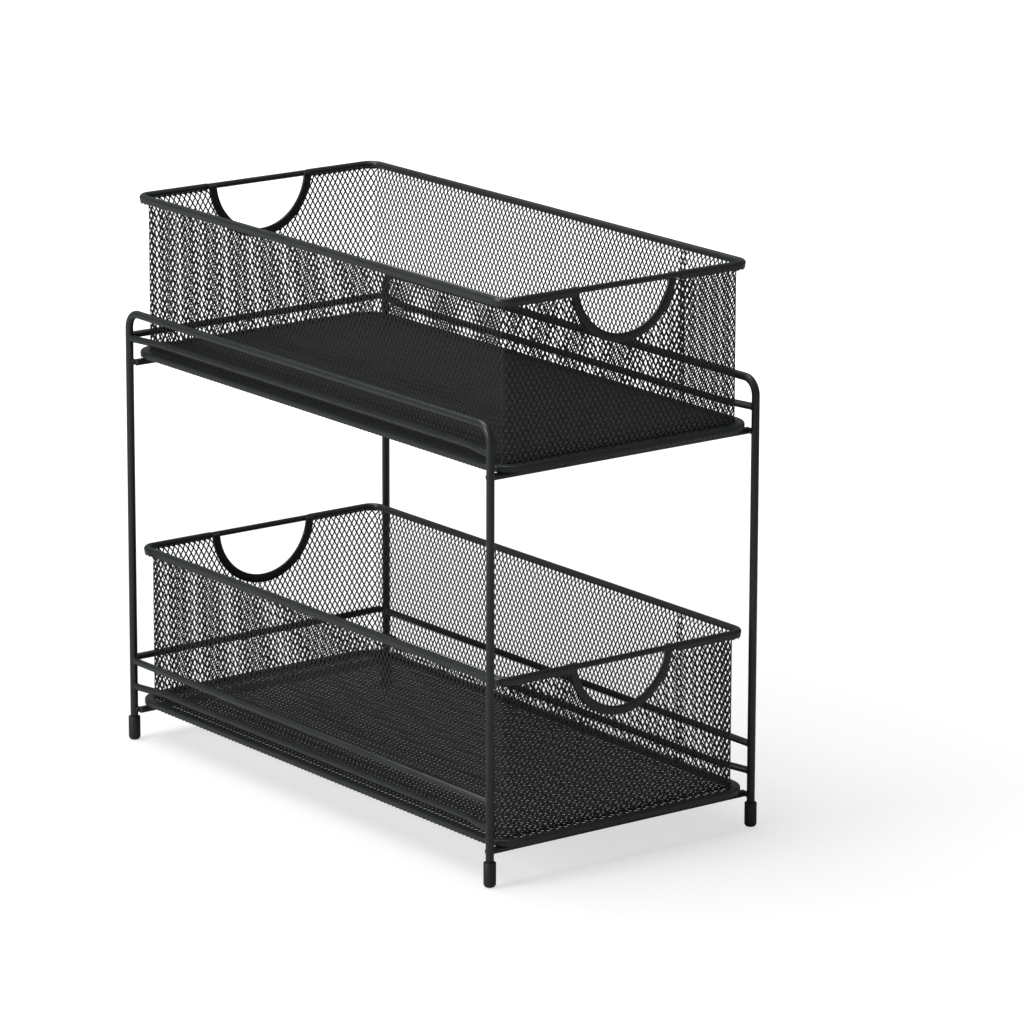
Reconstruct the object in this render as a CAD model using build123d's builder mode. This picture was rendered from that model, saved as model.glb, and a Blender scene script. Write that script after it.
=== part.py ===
"""Two-tier pull-out cabinet basket: a welded wire stand that carries two sliding mesh baskets.

Frame: +X right, +Y to the back, +Z up, millimetres. The origin lies on the floor, under the middle
of the stand and of the closed baskets. The baskets pull out towards -Y. Left is -X.
"""
import os
from math import floor, hypot

from build123d import *

os.makedirs("parts", exist_ok=True)

# --- stand: driving dimensions (its width and depth follow from the baskets) --------------------
post_diameter = 5.0             # thick wire of the two side frames
top_rail_height = 281.4         # centre of the side frames' top rail above the floor
frame_bend_radius = 10.0        # centreline radius where a post bends into its top rail
tier_pitch = 229.0              # height from the lower tier to the upper tier
rail_diameter = 4.4             # thinner wire of all the rails and crossbars
crossbar_overrun = 0.4          # how far a crossbar's end goes past the middle of its posts
weld_gap = 0.05                 # gap left between wires that a weld holds together

# --- stand: where each wire lies below its tier's side rail -----------------------------------
guide_rail_drop = 17.0          # guide rail that holds a basket's flange down
guide_rail_inset = 5.0          # how far a guide rail's long middle lies inboard of its posts
guide_rail_lead = 28.0          # length of a guide rail's slanted end
guide_rail_bend_radius = 30.0   # centreline radius of a guide rail's bends
crossbar_drop = 32.0            # crossbars that the basket slides on
upper_back_stop_drop = 16.3     # rear wire that stops the upper basket
lower_back_stop_rise = 0.6      # the lower basket's stop lies this much above its side rails

# --- rubber foot caps --------------------------------------------------------------------------
cap_diameter = 7.6
cap_height = 15.5
cap_floor = 2.0                 # rubber under the post's cut end
cap_taper_width = 1.6           # the cap's bottom edge is turned in this far
cap_taper_height = 2.4          # and starts to turn in at this height

# --- baskets: driving dimensions ---------------------------------------------------------------
basket_width = 176.6            # outside of the mesh walls, along X
basket_depth = 376.2            # outside of the mesh walls, along Y
wall_corner_radius = 5.0        # outside radius of the walls' upright corners
sheet_thickness = 0.8           # expanded metal of walls and floor
rim_height = 102.7              # centre of the rim wire above the basket's underside
rim_diameter = 4.2
rim_overhang = 3.2              # from a wall's outer face out to the rim wire's centre
base_diameter = 3.6             # wire under the floor's edge
floor_flange = 8.5              # floor that stands out past the walls
base_corner_radius = 20.0       # outside radius of the floor's corners
hem_bend_radius = 1.2           # outside radius where the floor turns down round its wire
hem_lift = 0.7                  # bottom edge of the hem above the basket's underside
running_clearance = 0.3         # between a basket and the wires it rests on
stop_clearance = 4.45           # between a closed basket's rear wall and the wire that stops it
flange_clearance = 0.7          # between the floor's edge and the posts on each side

# --- baskets: handle cut-outs ------------------------------------------------------------------
handle_radius = 34.0            # finger opening, nearly a half circle below the rim
handle_rise = 3.0               # centre of that circle above the rim wire's centre
trim_width = 5.5                # width of the smooth band round the opening
trim_sheet = 0.6                # sheet of the band, folded over the mesh edge
trim_edge_bevel = 0.4           # bevel along the band's folded edge
trim_edge_fit = 0.1             # clearance of the band's fold round the cut edge of the mesh

# --- baskets: diamond openings -----------------------------------------------------------------
wall_cell_width = 20.0          # diamond pitch along the wall
wall_cell_height = 29.8         # diamond pitch up the wall
floor_cell_width = 34.0         # diamond pitch across the floor
floor_cell_length = 22.0        # diamond pitch along the floor
strand_width = 3.0              # metal left between two diamonds
mesh_border = 3.0               # plain metal left along every edge of a mesh face

# --- places worked out from the sizes above ------------------------------------------------------
post_radius = post_diameter / 2
rail_radius = rail_diameter / 2
lap_offset = post_radius + rail_radius + weld_gap
base_width = basket_width + 2 * floor_flange
base_depth = basket_depth + 2 * floor_flange
post_x = base_width / 2 + flange_clearance + post_radius
post_y = basket_depth / 2 + stop_clearance + rail_radius - lap_offset
cope_height = 2 * rail_diameter  # taller than a rail, so that a cope goes right through its end
crossbar_half_length = post_x + crossbar_overrun

tier_tops = {"lower": top_rail_height - tier_pitch, "upper": top_rail_height}
back_stop_heights = {
    "lower": tier_tops["lower"] + lower_back_stop_rise,
    "upper": tier_tops["upper"] - upper_back_stop_drop,
}
sides = {"left": -1, "right": 1}
ends = {"front": -1, "rear": 1}

rim_width = basket_width + 2 * rim_overhang
rim_depth = basket_depth + 2 * rim_overhang
rim_corner_radius = wall_corner_radius + rim_overhang


def rounded_path(width, depth, radius, height):
    """Closed rounded rectangle about the middle, at a height."""
    half_x, half_y = width / 2, depth / 2
    corners = [(-half_x, -half_y), (half_x, -half_y), (half_x, half_y), (-half_x, half_y)]
    with BuildLine(Plane.XY.offset(height)) as path:
        FilletPolyline(*corners, radius=radius, close=True)
    return path.wires()[0]


def wire_section(path, diameter):
    """Round section square to a path, at its start."""
    with BuildSketch(Plane(origin=path @ 0, z_dir=path % 0)) as section:
        Circle(diameter / 2)
    return section.sketch


def save(part, name):
    """Label a finished piece and write it to its own file."""
    part.label = name
    export_step(part, f"parts/{name}.step")


# --- side frames: one thick wire each, two posts and the top rail between them -------------------
for side, sign in sides.items():
    with BuildPart() as side_frame:
        with BuildLine(Plane.YZ.offset(sign * post_x)) as frame_path:
            FilletPolyline(
                (-post_y, cap_floor),
                (-post_y, top_rail_height),
                (post_y, top_rail_height),
                (post_y, cap_floor),
                radius=frame_bend_radius,
            )
        add(wire_section(frame_path.wires()[0], post_diameter))
        sweep(path=frame_path.wires()[0])
    save(side_frame.part, f"{side}_side_frame")

# --- guide rails: their ends reach the posts, their middle lies inboard over the flange ----------
for tier, top in tier_tops.items():
    rail_height = top - guide_rail_drop
    for side, sign in sides.items():
        with BuildPart() as guide_rail:
            with BuildLine(Plane.XY.offset(rail_height)) as rail_path:
                FilletPolyline(
                    (sign * post_x, -post_y),
                    (sign * (post_x - guide_rail_inset), guide_rail_lead - post_y),
                    (sign * (post_x - guide_rail_inset), post_y - guide_rail_lead),
                    (sign * post_x, post_y),
                    radius=guide_rail_bend_radius,
                )
            add(wire_section(rail_path.wires()[0], rail_diameter))
            sweep(path=rail_path.wires()[0])
            # each end is coped to sit against its round post
            with Locations((sign * post_x, -post_y, rail_height), (sign * post_x, post_y, rail_height)):
                Cylinder(post_radius, cope_height, mode=Mode.SUBTRACT)
        save(guide_rail.part, f"{side}_{tier}_guide_rail")

# --- lower side rails: the lower tier's copy of the top rails, coped to the posts ------------------
for side, sign in sides.items():
    with BuildPart() as side_rail:
        with BuildSketch(Plane.XZ):
            with Locations((sign * post_x, tier_tops["lower"])):
                Circle(rail_radius)
        extrude(amount=post_y, both=True)
        with Locations(*[(sign * post_x, end * post_y, tier_tops["lower"]) for end in ends.values()]):
            Cylinder(post_radius, cope_height, mode=Mode.SUBTRACT)
    save(side_rail.part, f"{side}_lower_side_rail")

# --- crossbars and back stops: straight wires lapped on the posts ---------------------------------
crossbars = {}
for tier, top in tier_tops.items():
    crossbars[f"{tier}_front_crossbar"] = (lap_offset - post_y, top - crossbar_drop)
    crossbars[f"{tier}_rear_crossbar"] = (post_y - lap_offset, top - crossbar_drop)
    crossbars[f"{tier}_back_stop"] = (post_y + lap_offset, back_stop_heights[tier])

for name, (place_y, height) in crossbars.items():
    with BuildPart() as crossbar:
        with BuildSketch(Plane.YZ):
            with Locations((place_y, height)):
                Circle(rail_radius)
        extrude(amount=crossbar_half_length, both=True)
    save(crossbar.part, name)

# --- foot caps: a rubber sleeve pushed on each post, rounded underneath ---------------------------
for end, end_sign in ends.items():
    for side, sign in sides.items():
        with BuildPart() as foot_cap:
            with BuildSketch(Plane.XY):
                with Locations((sign * post_x, end_sign * post_y)):
                    Circle(cap_diameter / 2)
            extrude(amount=cap_height)
            bottom_face = foot_cap.faces().sort_by(Axis.Z)[0]
            chamfer(bottom_face.edges(), length=cap_taper_width, length2=cap_taper_height, reference=bottom_face)
            with BuildSketch(Plane.XY.offset(cap_floor)):
                with Locations((sign * post_x, end_sign * post_y)):
                    Circle(post_radius + weld_gap)
            extrude(amount=cap_height, mode=Mode.SUBTRACT)
        save(foot_cap.part, f"{end}_{side}_foot_cap")


def diamonds(length, height, cell_x, cell_y, keep=lambda x, y: True):
    """Centres of the staggered diamonds that fit a face of this size about its middle."""
    places = []
    columns = floor((length - 2 * mesh_border) / cell_x)
    rows = floor((height - 2 * mesh_border) / cell_y)
    for shift in (0, 1):
        for column in range(columns - shift):
            for row in range(rows - shift):
                x = (column - (columns - 1 - shift) / 2) * cell_x
                y = (row - (rows - 1 - shift) / 2) * cell_y
                if keep(x, y):
                    places.append((x, y))
    return places


def diamond_outline(cell_x, cell_y):
    """Corners of one diamond opening, half a strand inside its cell on every side."""
    shrink = 1 - strand_width * hypot(cell_x, cell_y) / (cell_x * cell_y)
    half_x = cell_x / 2 * shrink
    half_y = cell_y / 2 * shrink
    return [(half_x, 0), (0, half_y), (-half_x, 0), (0, -half_y)]


# --- baskets ------------------------------------------------------------------------------------
for tier, top in tier_tops.items():
    underside = top - crossbar_drop + rail_radius + running_clearance
    floor_bottom = underside + base_diameter + weld_gap
    floor_top = floor_bottom + sheet_thickness
    rim_z = underside + rim_height
    handle_z = rim_z + handle_rise
    wall_top = rim_z - rim_diameter / 2 - weld_gap
    wall_height = wall_top - floor_top

    # rim wire: one closed loop, bare where it crosses the two handles
    rim_path = rounded_path(rim_width, rim_depth, rim_corner_radius, rim_z)
    with BuildPart() as rim_wire:
        add(wire_section(rim_path, rim_diameter))
        sweep(path=rim_path)
    save(rim_wire.part, f"{tier}_rim_wire")

    # base wire: one closed loop inside the floor's turned-down edge
    wire_inset = sheet_thickness + weld_gap + base_diameter / 2
    base_path = rounded_path(
        base_width - 2 * wire_inset,
        base_depth - 2 * wire_inset,
        base_corner_radius - wire_inset,
        underside + base_diameter / 2,
    )
    with BuildPart() as base_wire:
        add(wire_section(base_path, base_diameter))
        sweep(path=base_path)
    save(base_wire.part, f"{tier}_base_wire")

    # floor: a mesh sheet on the base wire, its edge turned down round the wire as a hem
    with BuildPart() as floor_mesh:
        with BuildSketch(Plane.XY.offset(floor_bottom)):
            RectangleRounded(base_width, base_depth, base_corner_radius)
        extrude(amount=sheet_thickness)
        with BuildSketch(Plane.XY.offset(underside + hem_lift)):
            RectangleRounded(base_width, base_depth, base_corner_radius)
            RectangleRounded(
                base_width - 2 * sheet_thickness,
                base_depth - 2 * sheet_thickness,
                base_corner_radius - sheet_thickness,
                mode=Mode.SUBTRACT,
            )
        extrude(amount=floor_bottom - underside - hem_lift)
        fillet(floor_mesh.faces().sort_by(Axis.Z)[-1].outer_wire().edges(), radius=hem_bend_radius)
        inner_width = basket_width - 2 * sheet_thickness
        inner_depth = basket_depth - 2 * sheet_thickness
        with BuildSketch(Plane.XY.offset(floor_bottom)):
            with Locations(*diamonds(inner_width, inner_depth, floor_cell_width, floor_cell_length)):
                Polygon(*diamond_outline(floor_cell_width, floor_cell_length))
        extrude(amount=sheet_thickness, mode=Mode.SUBTRACT)
    save(floor_mesh.part, f"{tier}_floor_mesh")

    # walls: one strip of mesh bent round the floor, its top edge turned out under the rim wire
    cut_radius = handle_radius + trim_sheet + trim_edge_fit
    trim_radius = handle_radius + trim_width
    with BuildPart() as wall_mesh:
        with BuildSketch(Plane.XY.offset(floor_top)):
            RectangleRounded(basket_width, basket_depth, wall_corner_radius)
        extrude(amount=wall_height)
        with BuildSketch(Plane.XY.offset(wall_top - sheet_thickness)):
            RectangleRounded(rim_width, rim_depth, rim_corner_radius)
        extrude(amount=sheet_thickness)
        with BuildSketch(Plane.XY.offset(floor_top)):
            RectangleRounded(inner_width, inner_depth, wall_corner_radius - sheet_thickness)
        extrude(amount=wall_height, mode=Mode.SUBTRACT)
        # the lip stops short of the band, and the wall is cut to the band's circle
        with BuildSketch(Plane.XY.offset(wall_top - sheet_thickness)):
            Rectangle(2 * trim_radius, rim_depth)
            Rectangle(2 * trim_radius, basket_depth, mode=Mode.SUBTRACT)
        extrude(amount=sheet_thickness, mode=Mode.SUBTRACT)
        with BuildSketch(Plane.XZ):
            with Locations((0, handle_z)):
                Circle(cut_radius)
        extrude(amount=basket_depth, both=True, mode=Mode.SUBTRACT)
        # diamond openings through both long walls, then through both end walls
        middle = floor_top + wall_height / 2
        with BuildSketch(Plane.YZ):
            with Locations((0, middle)):
                flat_depth = basket_depth - 2 * wall_corner_radius
                with Locations(*diamonds(flat_depth, wall_height, wall_cell_width, wall_cell_height)):
                    Polygon(*diamond_outline(wall_cell_width, wall_cell_height))
        extrude(amount=basket_width, both=True, mode=Mode.SUBTRACT)
        clear_of_handle = trim_radius + wall_cell_width / 2
        with BuildSketch(Plane.XZ):
            with Locations((0, middle)):
                flat_width = basket_width - 2 * wall_corner_radius
                with Locations(
                    *diamonds(
                        flat_width,
                        wall_height,
                        wall_cell_width,
                        wall_cell_height,
                        keep=lambda x, z: hypot(x, z + middle - handle_z) > clear_of_handle,
                    )
                ):
                    Polygon(*diamond_outline(wall_cell_width, wall_cell_height))
        extrude(amount=basket_depth, both=True, mode=Mode.SUBTRACT)
    save(wall_mesh.part, f"{tier}_wall_mesh")

    # handle trims: a band folded over the cut edge, smooth for the fingers
    for end, end_sign in ends.items():
        wall_middle = end_sign * (basket_depth - sheet_thickness) / 2
        groove = sheet_thickness + 2 * weld_gap
        band_thickness = groove + 2 * trim_sheet
        with BuildPart() as handle_trim:
            with BuildSketch(Plane.XZ.offset(-wall_middle)):
                with Locations((0, handle_z)):
                    Circle(trim_radius)
                    Circle(handle_radius, mode=Mode.SUBTRACT)
                with Locations((0, wall_top + trim_radius)):
                    Rectangle(2 * trim_radius, 2 * trim_radius, mode=Mode.SUBTRACT)
            extrude(amount=band_thickness / 2, both=True)
            inner_edges = handle_trim.edges().filter_by(GeomType.CIRCLE).sort_by(SortBy.RADIUS)[:2]
            chamfer(inner_edges, length=trim_edge_bevel)
            with BuildSketch(Plane.XZ.offset(-wall_middle)):
                with Locations((0, handle_z)):
                    Circle(2 * trim_radius)
                    Circle(handle_radius + trim_sheet, mode=Mode.SUBTRACT)
            extrude(amount=groove / 2, both=True, mode=Mode.SUBTRACT)
        save(handle_trim.part, f"{tier}_{end}_handle_trim")
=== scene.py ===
# %% Load the frame
from math import atan2, cos, hypot, pi, radians, sin, tan

import bmesh
import bpy
import numpy as np
from mathutils import Matrix, Vector


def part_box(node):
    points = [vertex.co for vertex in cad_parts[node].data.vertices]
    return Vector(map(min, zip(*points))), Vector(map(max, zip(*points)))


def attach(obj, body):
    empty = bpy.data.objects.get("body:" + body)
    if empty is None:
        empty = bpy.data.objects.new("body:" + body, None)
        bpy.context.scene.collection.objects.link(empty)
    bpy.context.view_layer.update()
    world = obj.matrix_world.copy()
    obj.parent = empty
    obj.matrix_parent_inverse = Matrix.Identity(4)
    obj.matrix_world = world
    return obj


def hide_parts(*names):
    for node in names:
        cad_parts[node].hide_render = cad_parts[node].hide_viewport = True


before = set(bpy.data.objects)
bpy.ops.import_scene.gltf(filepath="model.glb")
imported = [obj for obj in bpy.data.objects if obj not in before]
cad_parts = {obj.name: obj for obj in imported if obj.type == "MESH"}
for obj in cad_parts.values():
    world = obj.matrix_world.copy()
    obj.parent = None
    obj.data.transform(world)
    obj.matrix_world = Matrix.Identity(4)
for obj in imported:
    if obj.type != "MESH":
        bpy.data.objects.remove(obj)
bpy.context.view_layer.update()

# %% [markdown]
# # A pull-out cabinet basket
# The object is a welded wire stand with two mesh baskets that slide out of it. The solids of the
# frame give every place and size. Here each wire, net, band and cap is modelled again as it is
# made: wire is drawn and bent, mesh is slit and stretched, the band is folded and the caps are
# moulded. Both tiers are alike, so each piece is made for the lower one and copied one tier up.

# %% Sizes, in metres
MM = 0.001
post_x, post_y = 100.0 * MM, 190.0 * MM     # middles of the posts, from the middle of the stand
post_diameter = 5.0 * MM
rail_diameter = 4.4 * MM
top_rail_z = {"lower": 52.4 * MM, "upper": 281.4 * MM}
floor_flange = 8.5 * MM                     # the floor stands out this far past the walls
wall_corner = 4.6 * MM                      # bend of the wall, at its middle surface
rim_corner = 8.2 * MM                       # bend of the rim wire
base_corner = 17.35 * MM                    # bend of the base wire
floor_corner = 20.0 * MM                    # outer corner of the floor
handle_radius = 34.0 * MM
handle_rise = 3.0 * MM                      # the handle's centre is this far above the rim wire
band_width = 5.5 * MM
TIERS = ("lower", "upper")
SIDES = {"left": -1, "right": 1}
ENDS = {"front": -1, "rear": 1}
tier_step = Vector((0, 0, top_rail_z["upper"] - top_rail_z["lower"]))
print("from tier to tier:", round(tier_step.z / MM, 1), "mm")

# %% [markdown]
# ## Small helpers
# An operator works on whatever is selected, and loading the frame leaves its nodes selected. So
# everything is deselected before each new piece. `edit` opens a piece with nothing selected, and
# `pick` then selects the parts of it that a rule in code accepts.

# %% Selecting
def only(piece=None):
    """Leave one piece selected and active, or none."""
    if bpy.context.mode != "OBJECT":
        bpy.ops.object.mode_set(mode="OBJECT")
    bpy.ops.object.select_all(action="DESELECT")
    if piece is not None:
        piece.select_set(True)
        bpy.context.view_layer.objects.active = piece


def edit(piece, mode="VERT"):
    """Open a piece in edit mode with nothing selected."""
    only(piece)
    bpy.ops.object.mode_set(mode="EDIT")
    bpy.ops.mesh.select_mode(type=mode)
    bpy.ops.mesh.select_all(action="DESELECT")


def pick(piece, kind, rule):
    """Select the faces, edges or vertices of the open piece that a rule accepts."""
    mesh = bmesh.from_edit_mesh(piece.data)
    chosen = [e for e in getattr(mesh, kind) if rule(e)]
    for e in chosen:
        e.select_set(True)
    mesh.select_flush_mode()
    bmesh.update_edit_mesh(piece.data)
    return len(chosen)


def middle(element):
    """Middle of an edge or a face."""
    if hasattr(element, "calc_center_median"):
        return element.calc_center_median()
    return (element.verts[0].co + element.verts[1].co) / 2


# %% [markdown]
# A piece is finished in one place in the code: its move, turn and scale are applied, so that its
# object sits at the origin and a material on Object coordinates stays put. Then it gets its
# name, shading, coat and body. What repeats is modelled once and copied, each copy with its own
# mesh, because linked copies could not be coated or exported one by one.

# %% Finishing, joining and copying
def finish(piece, name, body, material, replaced=(), angle=40):
    """Apply a piece's place, name it, shade it, coat it and let it ride on its body."""
    only(piece)
    bpy.ops.object.transform_apply(location=True, rotation=True, scale=True)
    piece.name = piece.data.name = name
    bpy.ops.object.shade_smooth_by_angle(angle=radians(angle))
    piece.data.materials.clear()
    piece.data.materials.append(material)
    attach(piece, body)
    if replaced:
        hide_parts(*replaced)
    piece.data.calc_loop_triangles()
    print(f"{name}: {len(piece.data.loop_triangles)} triangles")
    return piece


def join(pieces):
    """Join several pieces into the first one."""
    only()
    for piece in pieces:
        piece.select_set(True)
    bpy.context.view_layer.objects.active = pieces[0]
    if len(pieces) > 1:
        bpy.ops.object.join()
    return pieces[0]


def repeat(piece, offsets):
    """The piece, and a copy of it with its own mesh moved by each offset."""
    copies = [piece]
    for offset in offsets:
        only(piece)
        bpy.ops.object.duplicate(linked=False)
        bpy.ops.transform.translate(value=offset)
        copies.append(bpy.context.object)
    return copies


def on_both_tiers(piece, name, body, material, nodes=()):
    """Finish a piece of the lower tier and its copy one tier up; {} in a name is the tier."""
    for tier, part in zip(TIERS, repeat(piece, [tier_step])):
        finish(part, name.format(tier), body.format(tier), material,
               [node.format(tier) for node in nodes])


# %% [markdown]
# ## Materials
# All the steel has one finish: black polyester powder, sprayed on dry and baked. It melts to a
# satin skin about 0.08 mm thick, with a faint orange peel. It reads as charcoal where the light
# falls on it and almost black in the shade. A Principled shader with no metal in it is right,
# because the steel is fully covered.

# %% Node helpers
def linear(hex_colour):
    """Turn an sRGB hex colour into the linear values that a shader takes."""
    channels = [int(hex_colour[i:i + 2], 16) / 255 for i in (1, 3, 5)]
    return [c / 12.92 if c <= 0.04045 else ((c + 0.055) / 1.055) ** 2.4 for c in channels] + [1.0]


def add_node(tree, kind, inputs=(), **settings):
    """Add a node, set its properties, and fill or link its inputs."""
    node = tree.nodes.new(kind)
    for key, value in settings.items():
        setattr(node, key, value)
    for socket, value in dict(inputs).items():
        if isinstance(value, bpy.types.NodeSocket):
            tree.links.new(value, node.inputs[socket])
        else:
            node.inputs[socket].default_value = value
    return node


def new_material(name):
    """A material with an empty node tree, and that tree."""
    material = bpy.data.materials.new(name)
    material.use_nodes = True
    material.node_tree.nodes.clear()
    return material, material.node_tree


# %% [markdown]
# ### Powder coat
# Two noises do the work. A wide one, 22 mm from cloud to cloud, moves the colour and the gloss a
# little, as a sprayed coat's thickness does. A fine one is the orange peel, which only bends the
# light. An image of a coat could do this too, but noise needs no file and has a real scale.

# %% Powder coat
def powder_coat(name, dark, light, roughness, peel_mm, peel_depth_mm):
    """Baked powder: two close charcoals, a satin gloss and an orange peel of a real size."""
    material, tree = new_material(name)
    place = add_node(tree, "ShaderNodeTexCoord").outputs["Object"]
    cloud = add_node(tree, "ShaderNodeTexNoise",
                     {"Vector": place, "Scale": 1 / (22 * MM), "Detail": 3.0})
    tone = add_node(tree, "ShaderNodeMix",
                    {0: cloud.outputs["Fac"], 6: linear(dark), 7: linear(light)},
                    data_type="RGBA")
    peel = add_node(tree, "ShaderNodeTexNoise",
                    {"Vector": place, "Scale": 1 / (peel_mm * MM), "Detail": 2.0,
                     "Roughness": 0.4})
    gloss = add_node(tree, "ShaderNodeMapRange",
                     {"Value": cloud.outputs["Fac"], "To Min": roughness - 0.04,
                      "To Max": roughness + 0.04})
    bump = add_node(tree, "ShaderNodeBump",
                    {"Height": peel.outputs["Fac"], "Distance": peel_depth_mm * MM,
                     "Strength": 1.0})
    coat = add_node(tree, "ShaderNodeBsdfPrincipled",
                    {"Base Color": tone.outputs[2], "Roughness": gloss.outputs["Result"],
                     "Normal": bump.outputs["Normal"], "Metallic": 0.0, "IOR": 1.5})
    add_node(tree, "ShaderNodeOutputMaterial", {"Surface": coat.outputs["BSDF"]})
    return material


# Powder on round wire: the orange peel is about 1.5 mm from dimple to dimple.
wire_coat = powder_coat("satin_black_powder_coat_wire", "#212426", "#2c3032", 0.34, 1.5, 0.02)
# Powder on the slit and stretched sheet: thin on the strands' edges, so it is a little flatter.
# Its colour is painted shade: far darker than the same powder on the wire, so that the walls
# stay dark under the lamps.
mesh_coat_painted_shade = powder_coat("satin_black_powder_coat_expanded_mesh_painted_shade", "#0b0c0c", "#111212",
                        0.48, 1.0, 0.02)
# Powder on the floor, whose strands lie flat: its paler colour is painted light, standing in for
# the light on the strands' tops.
floor_coat_painted_light = powder_coat("satin_black_powder_coat_floor_mesh", "#1f2324", "#2d3234",
                         0.40, 1.0, 0.02)
# Powder on the folded band, which fingers keep smooth.
band_coat = powder_coat("satin_black_powder_coat_folded_band", "#1b1d1e", "#242728",
                        0.36, 2.2, 0.01)
print("powder coats:", [m.name for m in (wire_coat, mesh_coat_painted_shade, floor_coat_painted_light, band_coat)])

# %% [markdown]
# ### Rubber
# The caps are soft vinyl from an eroded mould, which leaves them matt with a grain of about half a
# millimetre. The grain is in the bump, and a 4 mm noise stands for the dust that vinyl holds.

# %% Moulded rubber
def moulded_rubber(name, dark, light):
    """Moulded black vinyl rubber: matt, with the fine grain of an eroded mould."""
    material, tree = new_material(name)
    place = add_node(tree, "ShaderNodeTexCoord").outputs["Object"]
    dust = add_node(tree, "ShaderNodeTexNoise",
                    {"Vector": place, "Scale": 1 / (4 * MM), "Detail": 4.0})
    tone = add_node(tree, "ShaderNodeMix",
                    {0: dust.outputs["Fac"], 6: linear(dark), 7: linear(light)},
                    data_type="RGBA")
    grain = add_node(tree, "ShaderNodeTexNoise",
                     {"Vector": place, "Scale": 1 / (0.5 * MM), "Detail": 1.0})
    bump = add_node(tree, "ShaderNodeBump",
                    {"Height": grain.outputs["Fac"], "Distance": 0.03 * MM, "Strength": 1.0})
    rubber = add_node(tree, "ShaderNodeBsdfPrincipled",
                      {"Base Color": tone.outputs[2], "Roughness": 0.5,
                       "Normal": bump.outputs["Normal"], "IOR": 1.52})
    add_node(tree, "ShaderNodeOutputMaterial", {"Surface": rubber.outputs["BSDF"]})
    return material


cap_rubber = moulded_rubber("moulded_black_vinyl_rubber", "#161615", "#1e1e1d")
print("rubber:", cap_rubber.name)

# %% [markdown]
# ## Bending wire
# A real wire is drawn round, cut and bent on a former. The same is done here: a circle is the
# wire's cut end, Extrude runs it straight and Spin bends it round the former's centre. A curve
# with a bevel would be quicker, but its rings would not fall where a bend starts and ends.

# %% The wire bender
WIRE_SIDES = 24
BEND_STEP = radians(9)
tiny = 0.01 * MM             # points nearer than this are the same place
weld_up = 0.02 * MM          # points nearer than this are merged where a piece closes on itself


def bend_wire(start, heading, moves, diameter, closed=False, end_bevel=0.35 * MM):
    """A number runs the wire straight; a (radius, angle, axis) bends it, right-handed."""
    only()
    heading, place = Vector(heading), Vector(start)
    bpy.ops.mesh.primitive_circle_add(vertices=WIRE_SIDES, radius=diameter / 2, location=place,
                                      rotation=heading.to_track_quat("Z", "Y").to_euler())
    piece = bpy.context.object
    bpy.ops.object.transform_apply(location=True, rotation=True, scale=True)
    bpy.ops.object.mode_set(mode="EDIT")
    bpy.ops.mesh.select_mode(type="EDGE")
    bpy.ops.mesh.select_all(action="SELECT")
    for move in moves:
        if isinstance(move, float):
            bpy.ops.mesh.extrude_edges_move(TRANSFORM_OT_translate={"value": heading * move})
            place = place + heading * move
        else:
            radius, angle, axis = move
            axis = Vector(axis)
            centre = place + axis.cross(heading) * radius * (1 if angle > 0 else -1)
            turn = Matrix.Rotation(angle, 3, axis)
            # Spin counts its angle against the right-hand rule, so it is given the negative
            bpy.ops.mesh.spin(steps=max(2, round(abs(angle) / BEND_STEP)), angle=-angle,
                              center=centre, axis=axis)
            place = centre + turn @ (place - centre)
            heading = turn @ heading
    bpy.ops.mesh.select_all(action="SELECT")
    if closed:
        bpy.ops.mesh.remove_doubles(threshold=weld_up)
    else:
        bpy.ops.mesh.fill_holes(sides=WIRE_SIDES)
        bpy.ops.mesh.select_all(action="DESELECT")
        pick(piece, "faces", lambda f: len(f.verts) == WIRE_SIDES)
        bpy.ops.mesh.region_to_loop()
        bpy.ops.mesh.bevel(offset=end_bevel, segments=2, affect="EDGES")
    bpy.ops.mesh.select_all(action="SELECT")
    bpy.ops.mesh.normals_make_consistent(inside=False)
    bpy.ops.object.mode_set(mode="OBJECT")
    return piece


# %% [markdown]
# ## The side frames
# Each side of the stand is one 5 mm wire: up the front post, back along the top rail and down the
# rear post. Three straight tubes and two elbows would do, but would show seams at the bends.
# Bent in one go it stays one wire. The left one is bent and copied to the right.

# %% Bend the two side frames
frame_bend = 10.0 * MM
foot_z = 2.2 * MM            # the wire ends inside its foot caps
rise = top_rail_z["upper"] - frame_bend - foot_z
run = 2 * (post_y - frame_bend)
down = (frame_bend, -pi / 2, (1, 0, 0))
side_frame = bend_wire((-post_x, -post_y, foot_z), (0, 0, 1), [rise, down, run, down, rise],
                       post_diameter)
for side, piece in zip(SIDES, repeat(side_frame, [(2 * post_x, 0, 0)])):
    finish(piece, f"side_frame_{side}", "stand", wire_coat, [f"{side}_side_frame"])

# %% [markdown]
# ## The rails
# The thinner 4.4 mm wire makes everything between the posts. A guide rail leaves its post, swings
# inboard over the basket's flange and comes back, so that the flange cannot lift. It has two
# shallow bends, which the wire bender makes. The left and the right rail are mirror images, and
# each is bent on its own side, because a mirrored mesh would be inside out.

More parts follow.
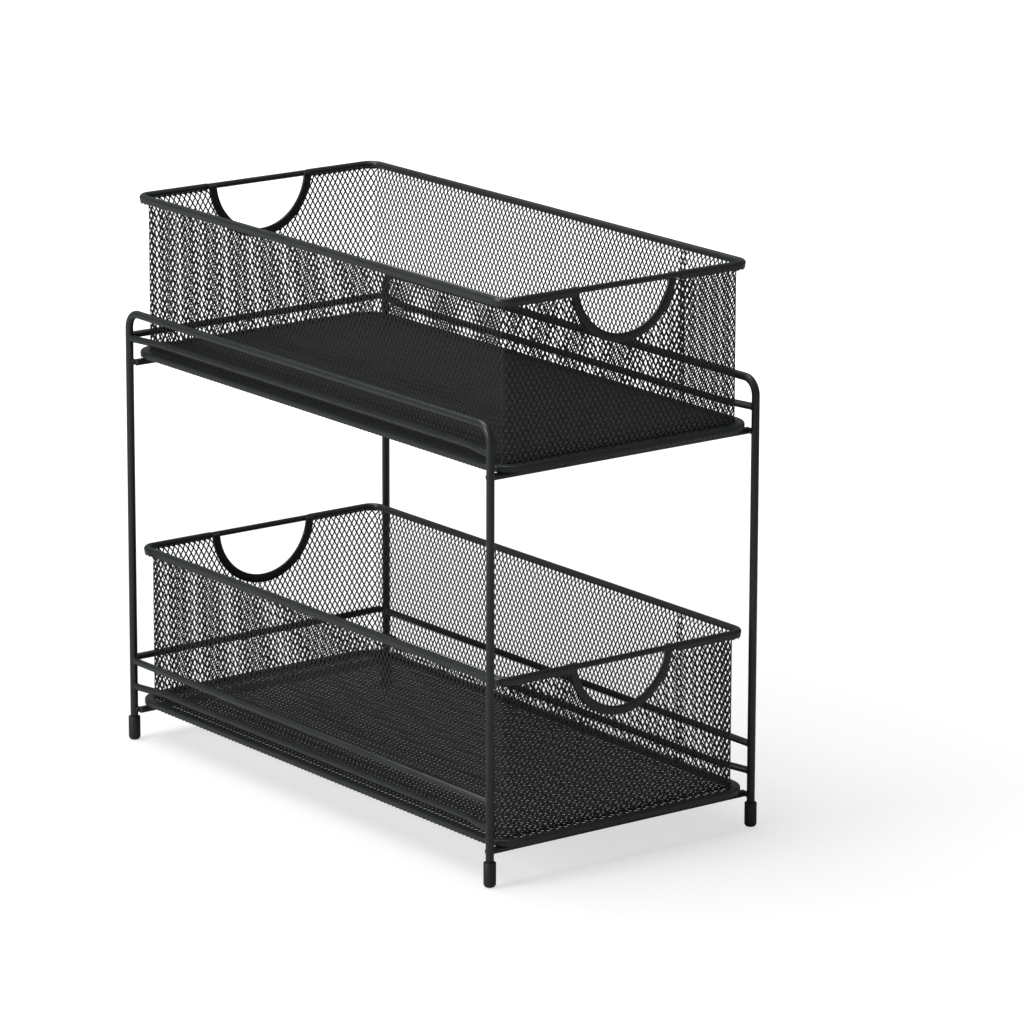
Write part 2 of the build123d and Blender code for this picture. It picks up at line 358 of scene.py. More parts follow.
# %% Guide rails
guide_drop, guide_inset, guide_lead = 17.0 * MM, 5.0 * MM, 28.0 * MM
guide_bend = 30.0 * MM
into_post = 1.0 * MM         # a rail starts this far inside its post
guide_angle = atan2(guide_inset, guide_lead)
bend_share = guide_bend * tan(guide_angle / 2)       # what a bend takes from each straight
lead_run = hypot(guide_inset, guide_lead) - bend_share - into_post
middle_run = 2 * (post_y - guide_lead - bend_share)
for side, sign in SIDES.items():
    heading = Vector((-sign * sin(guide_angle), cos(guide_angle), 0))
    start = Vector((sign * post_x, -post_y, top_rail_z["lower"] - guide_drop))
    inward = (guide_bend, -sign * guide_angle, (0, 0, 1))
    piece = bend_wire(start + heading * into_post, heading,
                      [lead_run, inward, middle_run, inward, lead_run], rail_diameter)
    on_both_tiers(piece, f"guide_rail_{{}}_{side}", "stand", wire_coat,
                  [f"{side}_{{}}_guide_rail"])

# %% [markdown]
# The side rails, crossbars and back stops are straight cut lengths. A cylinder would be enough
# for their shape, but the wire bender also rounds the cut ends. The six cross wires are equal, so
# one is made and copied to the others' places in the frame.

# %% Side rails, crossbars and back stops
side_rail = bend_wire((-post_x, -post_y, top_rail_z["lower"]), (0, 1, 0), [2 * post_y],
                      rail_diameter)
for side, piece in zip(SIDES, repeat(side_rail, [(2 * post_x, 0, 0)])):
    finish(piece, f"side_rail_lower_{side}", "stand", wire_coat,
           [f"{side}_lower_side_rail"])

BARS = [(tier, kind) for tier in TIERS for kind in ("front_crossbar", "rear_crossbar", "back_stop")]
end_cut = 1.6 * MM           # a bar's end is cut back, so that its post hides it
bar_boxes = [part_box(f"{tier}_{kind}") for tier, kind in BARS]
bar_places = [(lo + hi) / 2 for lo, hi in bar_boxes]
bar_length = bar_boxes[0][1].x - bar_boxes[0][0].x - 2 * end_cut
bar = bend_wire(bar_places[0] - Vector((bar_length / 2, 0, 0)), (1, 0, 0), [bar_length],
                rail_diameter, end_bevel=0.6 * MM)
bars = repeat(bar, [place - bar_places[0] for place in bar_places[1:]])
for (tier, kind), piece in zip(BARS, bars):
    finish(piece, f"{kind}_{tier}", "stand", wire_coat, [f"{tier}_{kind}"])

# %% [markdown]
# ## Welds
# The wires are resistance welded: clamped between copper jaws until they sink a little into each
# other. That leaves a small smooth saddle at each crossing. A Boolean with a fillet would be
# truer, but hard to keep clean. So one ball is made, copied to every crossing of the stand and
# pressed flat there, and the wires hide all of it but the fillet.

# %% Weld saddles
RAIL_SADDLE = (4.7 * MM, 2.6 * MM, 4.9 * MM)     # where a rail's end meets its post
BAR_SADDLE = (3.0 * MM, 2.0 * MM, 4.2 * MM)      # where a cross wire lies against its post
rail_saddle_in, bar_saddle_in = 0.5 * MM, 1.2 * MM     # inboard of the post's middle
spots = []
for bar_place in bar_places:
    to_post = (post_y if bar_place.y > 0 else -post_y) - bar_place.y
    contact = bar_place.y + to_post * rail_diameter / (rail_diameter + post_diameter)
    spots += [((sign * (post_x - bar_saddle_in), contact, bar_place.z), BAR_SADDLE)
              for sign in SIDES.values()]
rail_end_y = post_y - 0.45 * post_diameter      # just inside the post's wire
for sign in SIDES.values():
    for end in ENDS.values():
        y = end * rail_end_y
        for tier in TIERS:
            spots.append(((sign * (post_x - rail_saddle_in), y, top_rail_z[tier] - guide_drop),
                          RAIL_SADDLE))
        spots.append(((sign * post_x, y, top_rail_z["lower"]), RAIL_SADDLE))

only()
bpy.ops.mesh.primitive_uv_sphere_add(segments=16, ring_count=8, radius=0.5, location=(0, 0, 0))
ball, *saddles = repeat(bpy.context.object, [spot for spot, _ in spots])
for saddle, (_, size) in zip(saddles, spots):
    only(saddle)
    bpy.ops.transform.resize(value=size)
    bpy.ops.object.transform_apply(location=True, rotation=True, scale=True)
only(ball)
bpy.ops.object.delete()
print(len(saddles), "welds")
finish(join(saddles), "weld_saddles", "stand", wire_coat, angle=60)

# %% [markdown]
# ## Foot caps
# A vinyl sleeve is moulded and pushed up over each post's cut end. Its bottom is round and its
# mouth is open round the wire. It starts as a cylinder: the top face is inset to the wire and
# pressed down to open the mouth, the bottom edge is bevelled round and the lip a little. Spinning
# a profile would also do, but the cylinder takes fewer steps.

# %% Foot caps
cap_radius, cap_height, cap_round = 3.8 * MM, 15.5 * MM, 2.4 * MM
cap_bottom = 2.5 * MM        # thickness under the wire's end
cap_lip = 0.35 * MM
cap_air = 0.05 * MM          # between the sleeve and the wire
cap_wall = cap_radius - post_diameter / 2 - cap_air
cap_x, cap_y = -post_x, -post_y
only()
bpy.ops.mesh.primitive_cylinder_add(vertices=40, radius=cap_radius, depth=cap_height,
                                    location=(cap_x, cap_y, cap_height / 2))
cap = bpy.context.object
bpy.ops.object.transform_apply(location=True, rotation=True, scale=True)
edit(cap, "FACE")
pick(cap, "faces", lambda f: f.normal.z > 0.9)
bpy.ops.mesh.inset(thickness=cap_wall, depth=0)
bpy.ops.mesh.extrude_region_move(
    TRANSFORM_OT_translate={"value": (0, 0, cap_bottom - cap_height)})
bpy.ops.mesh.select_mode(type="EDGE")
bpy.ops.mesh.select_all(action="DESELECT")
pick(cap, "edges", lambda e: max(v.co.z for v in e.verts) < tiny)
bpy.ops.mesh.bevel(offset=cap_round, segments=6, affect="EDGES")
bpy.ops.mesh.select_all(action="DESELECT")
pick(cap, "edges", lambda e: min(v.co.z for v in e.verts) > cap_height - tiny
     and abs(hypot(middle(e).x - cap_x, middle(e).y - cap_y) - cap_radius) < 0.2 * MM)
bpy.ops.mesh.bevel(offset=cap_lip, segments=2, affect="EDGES")

CORNERS = [(end, side) for end in ENDS for side in SIDES]
moves = [(SIDES[side] * post_x - cap_x, ENDS[end] * post_y - cap_y, 0) for end, side in CORNERS]
for (end, side), piece in zip(CORNERS, repeat(cap, moves[1:])):
    finish(piece, f"foot_cap_{end}_{side}", "stand", cap_rubber,
           [f"{end}_{side}_foot_cap"])

# %% [markdown]
# ## Expanded mesh
# The walls and floors are expanded steel: a sheet is slit in staggered rows and pulled open into
# diamonds. Sheet, strands and corners are one piece, so it is not woven and has no knots. It is
# made here in the same order of thought. A grid is poked, so that each cell gets a centre. The
# grid's own lines are then dissolved, and what is left are staggered diamonds. Each diamond is
# inset by half a strand and its middle is deleted, which leaves the strands. Solidify gives the
# sheet its thickness. A material with holes would look right only from far off.

# %% Sizes of the mesh
wall_cell = (3.97 * MM, 6.66 * MM)     # pitch across and up, measured on the walls
STRAND = 0.90 * MM                     # width of a strand in the sheet
SHEET = 0.28 * MM                      # thickness of the sheet
TOOTH = 0.8 * MM                       # depth of the saw-tooth at a slit edge
print("openings in 100 mm of wall:", round(100 * MM / wall_cell[0]))


# %% Diamond net
def diamonds(columns, rows, cell):
    """A flat net of whole diamonds in X and Y, from the origin up and to the right."""
    only()
    bpy.ops.mesh.primitive_grid_add(x_subdivisions=columns, y_subdivisions=rows, size=1)
    piece = bpy.context.object
    edit(piece, "EDGE")
    bpy.ops.mesh.select_all(action="SELECT")
    bpy.ops.transform.resize(value=(columns * cell[0], rows * cell[1], 1))
    bpy.ops.transform.translate(value=(columns * cell[0] / 2, rows * cell[1] / 2, 0))
    bpy.ops.mesh.poke()
    bpy.ops.mesh.select_all(action="DESELECT")
    pick(piece, "edges", lambda e: not e.is_boundary and min(
        abs(e.verts[0].co.x - e.verts[1].co.x), abs(e.verts[0].co.y - e.verts[1].co.y)) < tiny)
    bpy.ops.mesh.dissolve_edges(use_verts=False)
    bpy.ops.object.mode_set(mode="OBJECT")
    return piece


def open_diamonds(piece, strand):
    """Inset every diamond by half a strand and take its middle out."""
    edit(piece, "FACE")
    bpy.ops.mesh.select_all(action="SELECT")
    bpy.ops.mesh.inset(thickness=strand / 2, depth=0, use_individual=True, use_even_offset=True)
    bpy.ops.mesh.delete(type="FACE")
    bpy.ops.object.mode_set(mode="OBJECT")
    return piece


def delete_strands(piece, rule):
    """Cut away the strands whose middle a rule accepts."""
    edit(piece, "FACE")
    count = pick(piece, "faces", rule)
    bpy.ops.mesh.delete(type="FACE")
    bpy.ops.object.mode_set(mode="OBJECT")
    return count


def thicken(piece, thickness):
    """Give the net the thickness of its sheet, half to each side."""
    only(piece)
    solid = piece.modifiers.new("sheet", "SOLIDIFY")
    solid.thickness = thickness
    solid.offset = 0.0
    bpy.ops.object.modifier_apply(modifier=solid.name)
    return piece


# %% [markdown]
# ## Round the basket
# The wall strip, its rolled edge and the floor's hem all follow the same kind of outline: a
# rectangle with round corners. `along` gives, for each distance along it, the point there and
# the way outwards. `outside` gives how far points of the floor lie outside it. A flat net is bent
# to its place by moving its points with these, because Bend needs a window.

# %% Points as an array
def points_of(piece):
    """All the points of a piece as an array."""
    co = np.empty(len(piece.data.vertices) * 3, np.float64)
    piece.data.vertices.foreach_get("co", co)
    return co.reshape(-1, 3)


def move_points(piece, co):
    """Put the points of a piece where the array says."""
    piece.data.vertices.foreach_set("co", co.astype(np.float32).ravel())
    piece.data.update()


# %% The outline of a basket
def outline(half_x, half_y, radius):
    """Half straights, corner length and whole length of an outline."""
    sx, sy = half_x - radius, half_y - radius
    corner = radius * pi / 2
    return sx, sy, corner, 2 * (2 * sx + 2 * sy) + 4 * corner


def along(distance, half_x, half_y, radius):
    """Points and outward ways at distances from the right side's middle, anticlockwise."""
    sx, sy, corner, length = outline(half_x, half_y, radius)
    spot = np.empty((len(distance), 2))
    way = np.empty((len(distance), 2))
    # each run: its length, then a straight's start and heading, or a corner's centre and angle
    runs = [(sy, (half_x, 0.0), (0, 1), None), (corner, None, None, (sx, sy, 0.0)),
            (2 * sx, (sx, half_y), (-1, 0), None), (corner, None, None, (-sx, sy, pi / 2)),
            (2 * sy, (-half_x, sy), (0, -1), None), (corner, None, None, (-sx, -sy, pi)),
            (2 * sx, (-sx, -half_y), (1, 0), None), (corner, None, None, (sx, -sy, 3 * pi / 2)),
            (sy, (half_x, -sy), (0, 1), None)]
    rest = np.mod(distance, length)
    done = np.zeros(len(distance), bool)
    for run, start, heading, turn in runs:
        here = ~done & (rest <= run + 1e-12)
        if turn is None:
            spot[here] = np.array(start) + rest[here, None] * np.array(heading)
            way[here] = (heading[1], -heading[0])
        else:
            angle = turn[2] + rest[here] / radius
            way[here] = np.stack([np.cos(angle), np.sin(angle)], 1)
            spot[here] = np.array(turn[:2]) + radius * way[here]
        done |= here
        rest = rest - run
    return spot, way


def outside(point, half_x, half_y, radius):
    """How far a point lies outside an outline; less than nothing is inside."""
    qx, qy = abs(point.x) - (half_x - radius), abs(point.y) - (half_y - radius)
    return hypot(max(qx, 0), max(qy, 0)) + min(max(qx, qy), 0) - radius


# %% [markdown]
# ## The wires of a basket
# One loop of wire stiffens the mouth and another lies inside the hem of the floor. Real ones are
# bent and butt welded. The bender starts in the middle of the right side, makes the four corners
# and comes back to its start, where the first and last rings are merged. A torus would have no
# straights, and a curve would put its rings beside the corners.

# %% Rim wire and base wire
rim_core = 3.7 * MM          # bare rim wire, where it crosses the handles
base_core = 3.6 * MM


def wire_loop(node, diameter, corner_radius):
    """A closed loop of wire with its middle line where the frame's node has it."""
    lo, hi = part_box(node)
    thick = hi.z - lo.z
    half_x, half_y = (hi.x - lo.x - thick) / 2, (hi.y - lo.y - thick) / 2
    side, face = half_y - corner_radius, 2 * (half_x - corner_radius)
    bend = (corner_radius, pi / 2, (0, 0, 1))
    return bend_wire((half_x, 0, (lo.z + hi.z) / 2), (0, 1, 0),
                     [side, bend, face, bend, 2 * side, bend, face, bend, side],
                     diameter, closed=True)


for kind, diameter, corner_radius in (("rim_wire", rim_core, rim_corner),
                                      ("base_wire", base_core, base_corner)):
    on_both_tiers(wire_loop(f"lower_{kind}", diameter, corner_radius), f"{kind}_{{}}",
                  "{}_basket", wire_coat, [f"{{}}_{kind}"])

# %% [markdown]
# ## Walls
# One strip of mesh goes once round the basket. It is opened while it is flat, folded at the four
# corners and leaned out to the rim wire, and its two ends lap on the right wall. The strands
# inside the handle openings are cut away; the folded band covers the cut ends. Four flat walls
# would be easier, but the real strip turns the corners without a seam.

# %% Folding a strip round the basket
WALL_ROWS = 15
WALL_FOLDS, EDGE_FOLDS = 3, 8    # fold lines in a corner of the wall; of the rolled edge and hem
STRIP_LAP = 4.0 * MM             # the strip's ends lie over each other this far
LAP_PLACE = -136.0 * MM          # the strip starts here on the right wall
LAP_RAMP = 3.0 * MM              # the strip's end steps in over this length
LAP_AIR = 0.02 * MM              # and leaves this between the two layers
lean_drop = 5.6 * MM             # the wall leans out from this far below the rim wire's middle
lip_in, lip_down = 1.75 * MM, 1.15 * MM     # the strip's edge, from the rim wire's middle line
cut_radius = handle_radius + 3.0 * MM       # strands nearer to a handle's centre are cut
SOLID_SHEET = 0.8 * MM       # thickness of the wall in the frame's solids
NEAR_END = 0.1 * MM          # a fold this near to a strip's end is left out
HANDLE_WALL = 1.0 * MM       # the wall round a handle lies within this of its own plane


def wall_outline():
    """Half width, half depth and corner radius of the wall's middle surface."""
    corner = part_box("lower_floor_mesh")[1]
    to_wall = floor_flange + SOLID_SHEET / 2
    return corner.x - to_wall, corner.y - to_wall, wall_corner


def rim_outline():
    """Half width, half depth, corner radius and height of the rim wire's middle line."""
    lo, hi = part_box("lower_rim_wire")
    thick = (hi.z - lo.z) / 2
    return hi.x - thick, hi.y - thick, rim_corner, (lo.z + hi.z) / 2


def fold_places(half_x, half_y, radius, begin, reach, count):
    """Places of the fold lines on a strip that begins at a distance along the outline."""
    sx, sy, corner, length = outline(half_x, half_y, radius)
    starts = [sy, sy + corner + 2 * sx, 3 * sy + 2 * corner + 2 * sx,
              3 * sy + 3 * corner + 4 * sx]
    folds = [(start + corner * k / count - begin) % length
             for start in starts for k in range(count + 1)]
    return [fold for fold in folds if NEAR_END < fold < reach - NEAR_END]


def score(piece, places):
    """Cut fold lines across a flat strip, at places along X."""
    edit(piece, "EDGE")
    for place in places:
        bpy.ops.mesh.select_all(action="SELECT")
        bpy.ops.mesh.bisect(plane_co=(place, 0, 0), plane_no=(1, 0, 0))
    bpy.ops.object.mode_set(mode="OBJECT")


# %% Wall mesh
def wall_mesh():
    """The wall strip, bent round the basket and opened at the two handles."""
    half_x, half_y, radius = wall_outline()
    rim_x, _, _, rim = rim_outline()
    length = outline(half_x, half_y, radius)[3]
    reach = length + STRIP_LAP
    columns = round(reach / wall_cell[0])
    piece = diamonds(columns, WALL_ROWS, (reach / columns, wall_cell[1]))
    open_diamonds(piece, STRAND)

    # the strip is trimmed where its edge meets the inner underside of the rim wire
    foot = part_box("lower_floor_mesh")[1].z
    lean_start = rim - lean_drop - foot
    lean_out, lean_up = rim_x - half_x - lip_in, lean_drop - lip_down
    lean = hypot(lean_out, lean_up)
    edit(piece, "EDGE")
    bpy.ops.mesh.select_all(action="SELECT")
    bpy.ops.mesh.bisect(plane_co=(0, lean_start + lean, 0), plane_no=(0, 1, 0), clear_outer=True)
    score(piece, fold_places(half_x, half_y, radius, LAP_PLACE, reach, WALL_FOLDS))

    # folded round the outline, leaned out above, and stepped in behind itself at the lap
    co = points_of(piece)
    spot, way = along(co[:, 0] + LAP_PLACE, half_x, half_y, radius)
    share = np.clip((co[:, 1] - lean_start) / lean, 0, 1)
    behind = np.clip((co[:, 0] - length + LAP_RAMP) / LAP_RAMP, 0, 1) * (SHEET + LAP_AIR)
    move_points(piece, np.column_stack([spot + way * (share * lean_out - behind)[:, None],
                                        foot + np.minimum(co[:, 1], lean_start)
                                        + share * lean_up]))
    handle_z = rim + handle_rise
    cut = delete_strands(piece, lambda f: abs(middle(f).y) > half_y - HANDLE_WALL
                         and hypot(middle(f).x, middle(f).z - handle_z) < cut_radius)
    thicken(piece, SHEET)
    print(f"wall: {columns} diamonds round, {cut} strand faces cut at the handles")
    return piece


# the walls' dark coat is painted shade
on_both_tiers(wall_mesh(), "wall_mesh_{}", "{}_basket", mesh_coat_painted_shade,
              ["{}_wall_mesh"])

# %% [markdown]
# ## The rolled edge
# Above the wall the strip goes over the rim wire and is rolled down round its outside, which
# holds the wire. Rolling closes the slits, so it is nearly smooth, and only its slit edge shows
# as a fine saw-tooth. A row of diamonds makes the teeth: the lower half of each gap is taken
# out and the top edge is extruded. A bump map could draw the teeth, but not against the light.
# The edge stops at each handle, where the wire is bare, so the right half is made, copied and
# turned half round for the left.

# %% Strip with a saw-tooth edge
def toothed_strip(length, rises):
    """A flat strip along X from the origin, with teeth below; it goes up by the given steps."""
    columns = round(length / wall_cell[0])
    piece = diamonds(columns, 1, (length / columns, 2 * TOOTH))
    delete_strands(piece, lambda f: middle(f).y < TOOTH / 2)
    edit(piece, "EDGE")
    pick(piece, "edges", lambda e: min(v.co.y for v in e.verts) > 2 * TOOTH - tiny)
    for rise in rises:
        bpy.ops.mesh.extrude_edges_move(TRANSFORM_OT_translate={"value": (0, rise, 0)})
    bpy.ops.object.mode_set(mode="OBJECT")
    return piece


# %% Rolled edge
ROLL_STEPS = 13
rim_roll = 0.30 * MM                # the roll's thickness: it brings the rim wire to 4.3 mm
roll_radius = rim_core / 2 + rim_roll / 2
roll_from, roll_to = radians(-22), radians(205)     # the part of the wire that the roll covers
skirt_drop = 3.6 * MM               # the teeth end this far below the wire's middle
skirt_in = 0.6 * MM
under_band = 0.6 * MM               # the roll reaches this far under the handle's band


def rolled_edge():
    """The top of the strip on both sides: teeth outside, up over the wire and down inside it."""
    half_x, half_y, radius, rim = rim_outline()
    half_run = outline(half_x, half_y, radius)[3] / 4 - (handle_radius + band_width - under_band)
    low = np.array([roll_radius - skirt_in, -skirt_drop])
    high = roll_radius * np.array([cos(roll_from), sin(roll_from)])
    skirt = hypot(*(high - low))
    arc = roll_radius * (roll_to - roll_from)
    piece = toothed_strip(2 * half_run, [skirt - 2 * TOOTH] + [arc / ROLL_STEPS] * ROLL_STEPS)
    score(piece, fold_places(half_x, half_y, radius, -half_run, 2 * half_run, EDGE_FOLDS))
    co = points_of(piece)
    spot, way = along(co[:, 0] - half_run, half_x, half_y, radius)
    share = np.clip(co[:, 1] / skirt, 0, 1)
    angle = roll_from + np.maximum(co[:, 1] - skirt, 0) / roll_radius
    on_wire = co[:, 1] > skirt
    outward = np.where(on_wire, roll_radius * np.cos(angle), low[0] + share * (high[0] - low[0]))
    height = np.where(on_wire, roll_radius * np.sin(angle), low[1] + share * (high[1] - low[1]))
    move_points(piece, np.column_stack([spot + way * outward[:, None], rim + height]))
    right, left = repeat(thicken(piece, rim_roll), [(0, 0, 0)])
    bpy.ops.transform.rotate(value=pi, orient_axis="Z", center_override=(0, 0, 0))
    print(f"rolled edge: two strips of {2 * half_run / MM:.0f} mm")
    return join([right, left])


on_both_tiers(rolled_edge(), "rolled_edge_{}", "{}_basket", wire_coat)

# %% [markdown]
# ## Floor and hem
# The floor is a second sheet of the same mesh, its diamonds lying across the basket. It could be
# trimmed with a Boolean, but a real sheet is cut through whole strands, so here each strand
# outside the hem is deleted.

# %% Floor mesh
FLOOR_STRAND, FLOOR_SHEET = 1.12 * MM, 0.60 * MM
HEM_SHEET = 0.6 * MM
hem_bend = 0.9 * MM
hem_inside = 3.6 * MM        # the closed edge goes this far in over the floor
net_inside = 0.4 * hem_inside        # a kept strand's middle is this far in from the bend
under_hem = 0.04 * MM        # the net's top lies this far below the hem's


def floor_net():
    """The open part of the floor, cut to the basket's outline."""
    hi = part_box("lower_floor_mesh")[1]
    cell = (wall_cell[1], wall_cell[0])
    columns = 2 * round(hi.x / cell[0]) + 1
    rows = 2 * round(hi.y / cell[1]) + 1
    piece = diamonds(columns, rows, cell)
    co = points_of(piece)
    co[:, :2] -= np.array([columns * cell[0], rows * cell[1]]) / 2
    co[:, 2] = hi.z - under_hem - FLOOR_SHEET / 2
    move_points(piece, co)
    open_diamonds(piece, FLOOR_STRAND)
    limit = -hem_bend - net_inside
    cut = delete_strands(piece, lambda f: outside(middle(f), hi.x, hi.y, floor_corner) > limit)
    thicken(piece, FLOOR_SHEET)
    print(f"floor: {columns} by {rows} diamonds, {cut} strand faces cut outside the hem")
    return piece


# the floor's paler coat is painted light on the strands' tops
on_both_tiers(floor_net(), "floor_mesh_{}", "{}_basket", floor_coat_painted_light,
              ["{}_floor_mesh"])

# %% [markdown]
# The floor's edge is left closed and pressed down over the base wire as a hem, and the slits
# leave a fine saw-tooth below. A bevelled box would miss the teeth, so the hem is another
# toothed strip. It goes up the outside, round the bend and in over the floor.

# %% Hem
HEM_STEPS = 4


def hem():
    """The closed edge of the floor, turned down over the base wire."""
    lo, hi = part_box("lower_floor_mesh")
    half = HEM_SHEET / 2
    half_x, half_y, radius = hi.x - half, hi.y - half, floor_corner - half
    length = outline(half_x, half_y, radius)[3]
    drop = hi.z - half - hem_bend - lo.z
    arc = hem_bend * pi / 2
    piece = toothed_strip(length, [drop - 2 * TOOTH] + [arc / HEM_STEPS] * HEM_STEPS
                          + [hem_inside])
    score(piece, fold_places(half_x, half_y, radius, 0, length, EDGE_FOLDS))
    co = points_of(piece)
    spot, way = along(co[:, 0], half_x, half_y, radius)
    angle = np.clip((co[:, 1] - drop) / hem_bend, 0, pi / 2)
    past = np.maximum(co[:, 1] - drop - arc, 0)
    outward = hem_bend * (np.cos(angle) - 1) - past
    height = lo.z + np.minimum(co[:, 1], drop) + hem_bend * np.sin(angle)
    move_points(piece, np.column_stack([spot + way * outward[:, None], height]))
    edit(piece)
    bpy.ops.mesh.select_all(action="SELECT")
    bpy.ops.mesh.remove_doubles(threshold=weld_up)
    bpy.ops.object.mode_set(mode="OBJECT")
    print(f"hem: {length / MM:.0f} mm round, {drop / MM:.1f} mm down")
    return thicken(piece, HEM_SHEET)


on_both_tiers(hem(), "floor_hem_{}", "{}_basket", wire_coat)

# %% [markdown]
# ## Handle bands
# A strip of thin sheet is folded over the cut edge of the mesh and pressed tight, so that fingers
# meet a smooth round edge. Its folded section is drawn once and spun round the middle of the
# opening, from the wire on one side to the wire on the other. A torus would have a round section.

# %% Handle bands
band_thick = 2.1 * MM
band_inner_round, band_outer_round = 0.95 * MM, 0.3 * MM
BAND_STEPS = 48
band_start = radians(3.0)    # below level, where the band starts, in the underside of the rim wire


def handle_band(y):
    """The folded band of a handle of the lower basket, in the wall at this depth."""
    handle_z = rim_outline()[3] + handle_rise
    only()
    bpy.ops.mesh.primitive_plane_add(size=1,
                                     location=(handle_radius + band_width / 2, y, handle_z))
    piece = bpy.context.object
    bpy.ops.object.mode_set(mode="EDIT")
    bpy.ops.mesh.select_all(action="SELECT")
    bpy.ops.transform.resize(value=(band_width, band_thick, 1))
    bpy.ops.object.mode_set(mode="OBJECT")
    bpy.ops.object.transform_apply(location=True, rotation=True, scale=True)
    edit(piece, "VERT")
    pick(piece, "verts", lambda v: v.co.x < handle_radius + tiny)
    bpy.ops.mesh.bevel(offset=band_inner_round, segments=4, affect="VERTICES")
    bpy.ops.mesh.select_all(action="DESELECT")
    pick(piece, "verts", lambda v: v.co.x > handle_radius + band_width - tiny)
    bpy.ops.mesh.bevel(offset=band_outer_round, segments=2, affect="VERTICES")
    bpy.ops.object.mode_set(mode="OBJECT")
    # the section is turned down to its first place, then spun
    turn = Matrix.Rotation(band_start, 3, "Y")
    centre = Vector((0, y, handle_z))
    move_points(piece, np.array([centre + turn @ (v.co - centre) for v in piece.data.vertices]))
    edit(piece, "FACE")
    bpy.ops.mesh.select_all(action="SELECT")
    bpy.ops.mesh.spin(steps=BAND_STEPS, angle=-(pi - 2 * band_start), center=centre,
                      axis=(0, 1, 0))
    bpy.ops.mesh.select_all(action="SELECT")
    bpy.ops.mesh.normals_make_consistent(inside=False)
    bpy.ops.object.mode_set(mode="OBJECT")
    return piece


band_y = {}
for end in ENDS:
    lo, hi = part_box(f"lower_{end}_handle_trim")
    band_y[end] = (lo.y + hi.y) / 2
front_band = handle_band(band_y["front"])
bands = repeat(front_band, [(0, band_y["rear"] - band_y["front"], 0)])
for end, piece in zip(ENDS, bands):
    on_both_tiers(piece, f"handle_band_{{}}_{end}", "{}_basket", band_coat,
                  [f"{{}}_{end}_handle_trim"])

# %% [markdown]
# ## White floor
# The object stands on a plain white sheet. A real one needs more light than a black object does,
# and that light would wash the object out. So the sheet is lit no more than the object, and a
# glow that only rays from the camera or through glass meet lifts it to white. The glow is
# lower near the object, so that its soft shadow stays, and full further out.

# %% White floor
SHEET_WHITE = "#bababa"      # what the lamps light; the glow does the rest
GLOW_NEAR, GLOW_FAR = 0.60, 1.0
FADE_FROM, FADE_TO = 0.25, 1.3       # metres from the middle of the object


def seen_directly(tree):
    """1 for a ray from the camera or through glass, 0 for all other light."""
    ray = add_node(tree, "ShaderNodeLightPath")
    seen = add_node(tree, "ShaderNodeMath", {0: ray.outputs["Is Camera Ray"],
                                             1: ray.outputs["Is Transmission Ray"]},
                    operation="MAXIMUM")
    return seen.outputs[0]


def stage_white(name):
    """A matt white sheet that the camera sees as pure white outside the shadow."""
    material, tree = new_material(name)
    matt = add_node(tree, "ShaderNodeBsdfDiffuse", {"Color": linear(SHEET_WHITE)})
    place = add_node(tree, "ShaderNodeTexCoord").outputs["Object"]
    away = add_node(tree, "ShaderNodeVectorMath", {0: place}, operation="LENGTH")
    fade = add_node(tree, "ShaderNodeMapRange",
                    {"Value": away.outputs["Value"], "From Min": FADE_FROM, "From Max": FADE_TO,
                     "To Min": GLOW_NEAR, "To Max": GLOW_FAR}, interpolation_type="SMOOTHSTEP")
    lift = add_node(tree, "ShaderNodeMath", {0: seen_directly(tree), 1: fade.outputs["Result"]},
                    operation="MULTIPLY")
    glow = add_node(tree, "ShaderNodeEmission",
                    {"Color": linear("#ffffff"), "Strength": lift.outputs[0]})
    both = add_node(tree, "ShaderNodeAddShader", {0: matt.outputs[0], 1: glow.outputs[0]})
    add_node(tree, "ShaderNodeOutputMaterial", {"Surface": both.outputs[0]})
    return material


only()
bpy.ops.mesh.primitive_plane_add(size=30, location=(0, 0, -0.05 * MM))   # just under the caps
ground = bpy.context.object
ground.name = "white_floor"
ground.data.materials.append(stage_white("matt_white_sheet"))
print("floor:", ground.name)

# %% [markdown]
# ## White room
# The world is white to the camera, and lights the object from all round at a fifth of that. A
# brighter world would fill the shadows between the strands and turn the black coat grey.

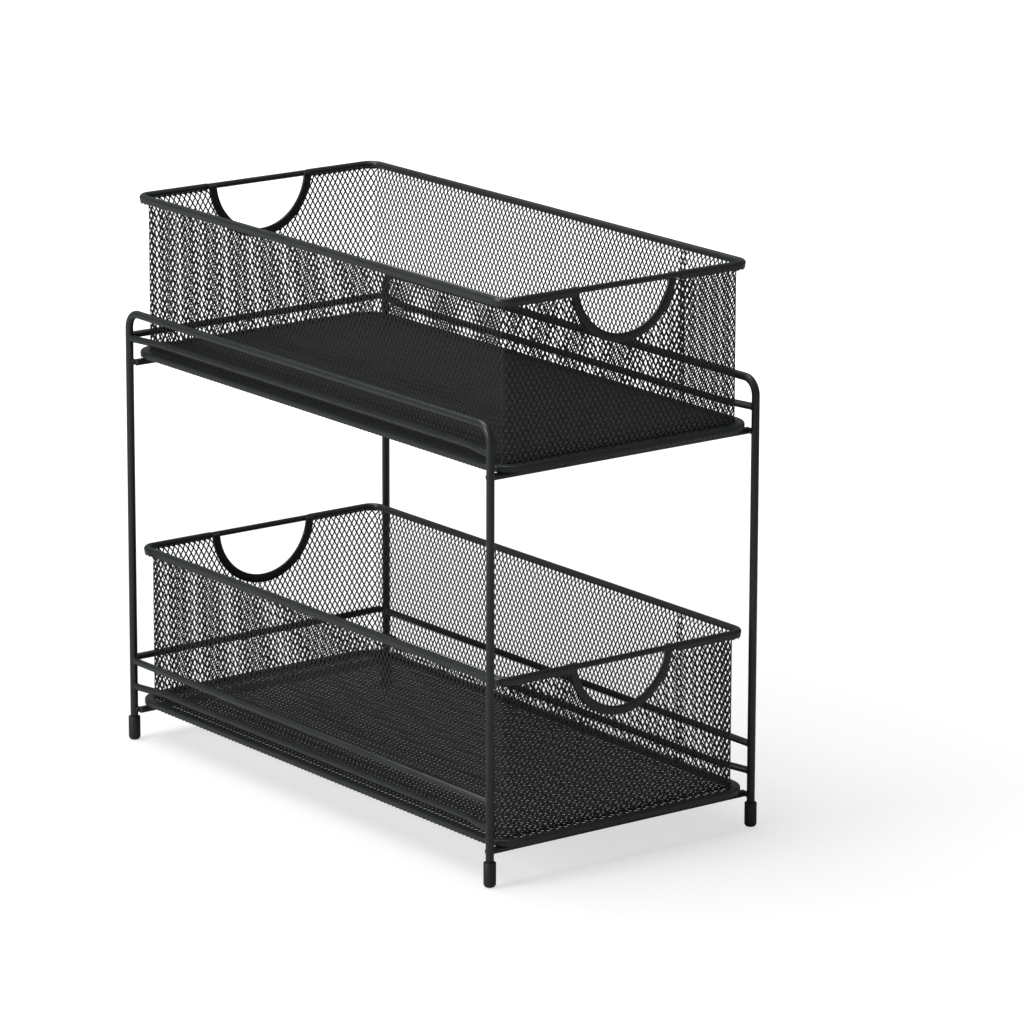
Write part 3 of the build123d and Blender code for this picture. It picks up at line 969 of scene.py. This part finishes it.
# %% White room
ROOM_LIGHT = 0.20
world = bpy.data.worlds.new("white_room")
bpy.context.scene.world = world
world.use_nodes = True
room = world.node_tree
room.nodes.clear()
level = add_node(room, "ShaderNodeMix", {0: seen_directly(room), 2: ROOM_LIGHT, 3: 1.0},
                 data_type="FLOAT")
sky = add_node(room, "ShaderNodeBackground",
               {"Color": linear("#ffffff"), "Strength": level.outputs[0]})
add_node(room, "ShaderNodeOutputWorld", {"Surface": sky.outputs[0]})
print("room light:", ROOM_LIGHT)

# %% [markdown]
# ## Lamps
# Two soft boxes light the black wire, which would look flat under one. The large one above and
# behind gives the tops of the wires their pale line and lays the shadow to the front right. The
# small one at the left shows the left-facing wires and the hem as slate. Nothing lights the front,
# so the wires that face it stay near black.

# %% Lamps
def soft_lamp(name, place, aim, size, watts):
    """A square soft box that looks at a point of the object."""
    data = bpy.data.lights.new(name, "AREA")
    data.shape, data.size, data.energy = "SQUARE", size, watts
    lamp = bpy.data.objects.new(name, data)
    bpy.context.scene.collection.objects.link(lamp)
    lamp.location = place
    lamp.rotation_euler = (Vector(aim) - Vector(place)).to_track_quat("-Z", "Y").to_euler()
    print(f"{name}: {size} m square, {watts} W")
    return lamp


soft_lamp("soft_box_top", (-0.5, 0.6, 2.8), (0, 0, 0.15), 2.2, 62)
soft_lamp("soft_box_left", (-2.6, 0.3, 1.1), (0, 0, 0.2), 1.0, 36)

# %% [markdown]
# ## Camera
# The camera stands at the front left, nearly four metres off, with a long lens, so that the posts
# stay parallel. A small shift sets the object in the frame without tilting the camera. Standard
# colour keeps white at white; the factory setting would grey it.

# %% Camera
bpy.context.scene.view_settings.view_transform = "Standard"
camera_place = Vector((-2.1134, -2.8653, 1.0995))
camera_aim = Vector((0.1847, 0.1705, 0.1669))
camera_roll = radians(0.139)
camera_data = bpy.data.cameras.new("camera")
camera_data.sensor_width = 36.0
camera_data.lens = 208.1
camera_data.shift_x, camera_data.shift_y = 0.0052, -0.0801
camera_data.clip_start, camera_data.clip_end = 0.1, 60.0
camera = bpy.data.objects.new("camera", camera_data)
bpy.context.scene.collection.objects.link(camera)
bpy.context.scene.camera = camera
camera.location = camera_place
camera.rotation_mode = "QUATERNION"
camera.rotation_quaternion = ((camera_aim - camera_place).to_track_quat("-Z", "Y")
                              @ Matrix.Rotation(camera_roll, 4, "Z").to_quaternion())
print("camera to aim:", round((camera_aim - camera_place).length, 3), "m")
